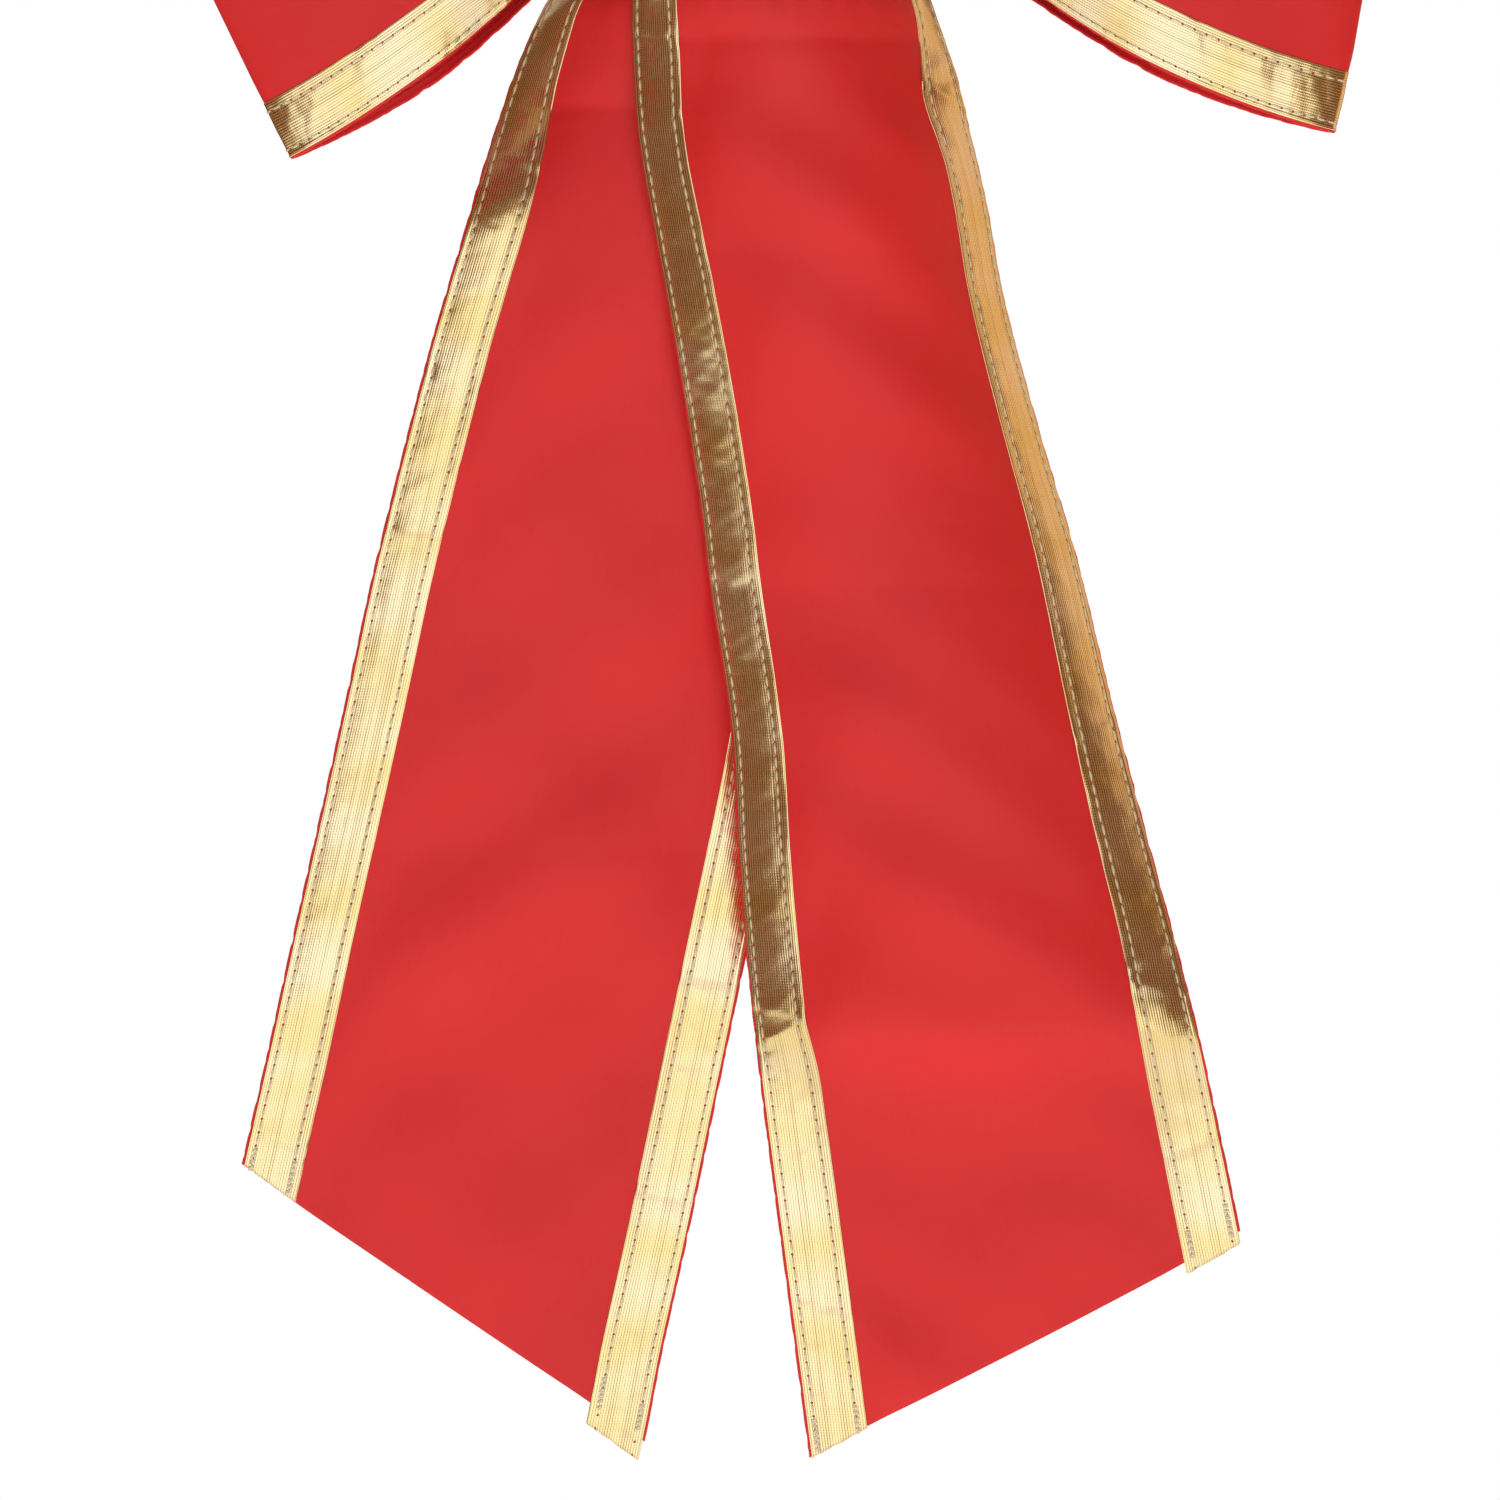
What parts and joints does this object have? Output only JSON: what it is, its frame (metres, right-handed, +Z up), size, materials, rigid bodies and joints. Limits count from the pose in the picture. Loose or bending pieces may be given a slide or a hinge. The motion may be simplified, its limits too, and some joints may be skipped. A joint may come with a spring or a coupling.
{
  "type": "hanging gift bow",
  "caption": "Large hanging decorative bow of red cloth edged with sewn gold ribbon: puffed loops, a wrapped knot and long tails with slanted ends.",
  "frame": {"origin": "middle of the backing patch's flat back, which lies on the door or wall the bow hangs on", "axes": "+Z up, +X to the viewer's right, the front of the bow faces -Y, and +Y goes into the door"},
  "size_m": [0.4455, 0.0704, 0.5995],
  "materials": {
    "red_cloth": "plain-woven red polyester with a soft satin sheen, hems folded and pressed",
    "gold_ribbon": "gold metallic woven ribbon, fine ribs along its length, bright where it faces the light and brown where it turns away",
    "gold_thread": "golden polyester sewing thread, lockstitch",
    "tie_nylon": "natural nylon strap"
  },
  "bodies": {
    "knot": {"knot_band": "red_cloth", "gathered_core": "red_cloth", "cinch_tie": "tie_nylon", "cinch_tie_head": "tie_nylon", "backing_patch": "red_cloth", "knot_left_ribbon": "gold_ribbon", "knot_left_edge_stitching": "gold_thread", "knot_left_field_stitching": "gold_thread", "knot_right_ribbon": "gold_ribbon", "knot_right_edge_stitching": "gold_thread", "knot_right_field_stitching": "gold_thread"},
    "left_tail": {"left_tail_cloth": "red_cloth", "left_tail_outer_ribbon": "gold_ribbon", "left_tail_outer_edge_stitching": "gold_thread", "left_tail_outer_field_stitching": "gold_thread", "left_tail_inner_ribbon": "gold_ribbon", "left_tail_inner_edge_stitching": "gold_thread", "left_tail_inner_field_stitching": "gold_thread"},
    "right_tail": {"right_tail_cloth": "red_cloth", "right_tail_outer_ribbon": "gold_ribbon", "right_tail_outer_edge_stitching": "gold_thread", "right_tail_outer_field_stitching": "gold_thread", "right_tail_inner_ribbon": "gold_ribbon", "right_tail_inner_edge_stitching": "gold_thread", "right_tail_inner_field_stitching": "gold_thread"},
    "left_loop": {"left_loop_cloth": "red_cloth", "left_loop_lower_ribbon": "gold_ribbon", "left_loop_lower_edge_stitching": "gold_thread", "left_loop_lower_field_stitching": "gold_thread", "left_loop_upper_ribbon": "gold_ribbon", "left_loop_upper_edge_stitching": "gold_thread", "left_loop_upper_field_stitching": "gold_thread"},
    "right_loop": {"right_loop_cloth": "red_cloth", "right_loop_lower_ribbon": "gold_ribbon", "right_loop_lower_edge_stitching": "gold_thread", "right_loop_lower_field_stitching": "gold_thread", "right_loop_upper_ribbon": "gold_ribbon", "right_loop_upper_edge_stitching": "gold_thread", "right_loop_upper_field_stitching": "gold_thread"}
  },
  "joints": [
    {"name": "left_tail_swing", "type": "hinge", "parent": "knot", "child": "left_tail", "pos_m": [0, -0.004, 0], "axis": [0, 1, 0], "range_deg": [-2, 6]},
    {"name": "right_tail_swing", "type": "hinge", "parent": "knot", "child": "right_tail", "pos_m": [0, -0.014, 0], "axis": [0, -1, 0], "range_deg": [-2, 6]},
    {"name": "left_loop_tilt", "type": "hinge", "parent": "knot", "child": "left_loop", "pos_m": [-0.0152, -0.0375, 0], "axis": [0, 1, 0], "range_deg": [-4, 7]},
    {"name": "right_loop_tilt", "type": "hinge", "parent": "knot", "child": "right_loop", "pos_m": [0.0152, -0.0375, 0], "axis": [0, -1, 0], "range_deg": [-4, 7]}
  ]
}
